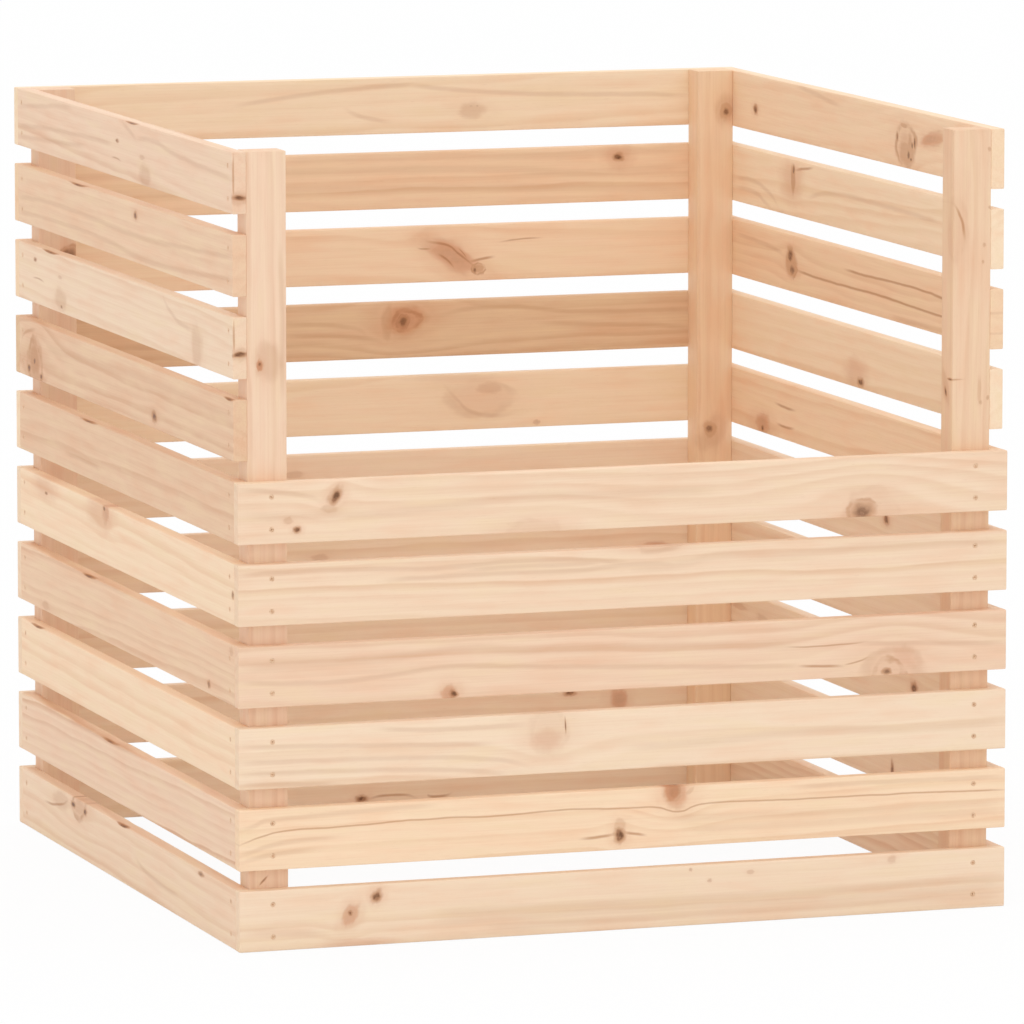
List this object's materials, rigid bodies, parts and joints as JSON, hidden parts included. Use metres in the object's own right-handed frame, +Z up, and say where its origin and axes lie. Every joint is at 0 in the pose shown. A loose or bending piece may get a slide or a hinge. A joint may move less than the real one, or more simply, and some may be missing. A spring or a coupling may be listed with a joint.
{
  "type": "compost bin",
  "caption": "Square slatted pine compost bin, open at top and bottom, with a low front wall for loading; spaced horizontal slats screwed to corner posts.",
  "frame": {"origin": "on the ground, at the middle of the bin's plan", "axes": "+X to the right along the front wall, +Y from the front wall to the back wall, +Z up"},
  "size_m": [0.8, 0.8, 0.78],
  "materials": {
    "pine_posts": "planed untreated pine, grain upright",
    "pine_slats": "planed untreated pine, knotty, grain along the slat",
    "screw_steel": "dull zinc plated"
  },
  "bodies": {
    "root": {"front_left_post": "pine_posts", "front_right_post": "pine_posts", "rear_left_post": "pine_posts", "rear_right_post": "pine_posts", "front_slat_1": "pine_slats", "front_slat_2": "pine_slats", "front_slat_3": "pine_slats", "front_slat_4": "pine_slats", "front_slat_5": "pine_slats", "front_slat_6": "pine_slats", "back_slat_1": "pine_slats", "back_slat_2": "pine_slats", "back_slat_3": "pine_slats", "back_slat_4": "pine_slats", "back_slat_5": "pine_slats", "back_slat_6": "pine_slats", "back_slat_7": "pine_slats", "back_slat_8": "pine_slats", "back_slat_9": "pine_slats", "back_slat_10": "pine_slats", "left_slat_1": "pine_slats", "left_slat_2": "pine_slats", "left_slat_3": "pine_slats", "left_slat_4": "pine_slats", "left_slat_5": "pine_slats", "left_slat_6": "pine_slats", "left_slat_7": "pine_slats", "left_slat_8": "pine_slats", "left_slat_9": "pine_slats", "left_slat_10": "pine_slats", "right_slat_1": "pine_slats", "right_slat_2": "pine_slats", "right_slat_3": "pine_slats", "right_slat_4": "pine_slats", "right_slat_5": "pine_slats", "right_slat_6": "pine_slats", "right_slat_7": "pine_slats", "right_slat_8": "pine_slats", "right_slat_9": "pine_slats", "right_slat_10": "pine_slats", "front_slat_screws": "screw_steel", "back_slat_screws": "screw_steel", "left_slat_screws": "screw_steel", "right_slat_screws": "screw_steel"}
  },
  "joints": []
}
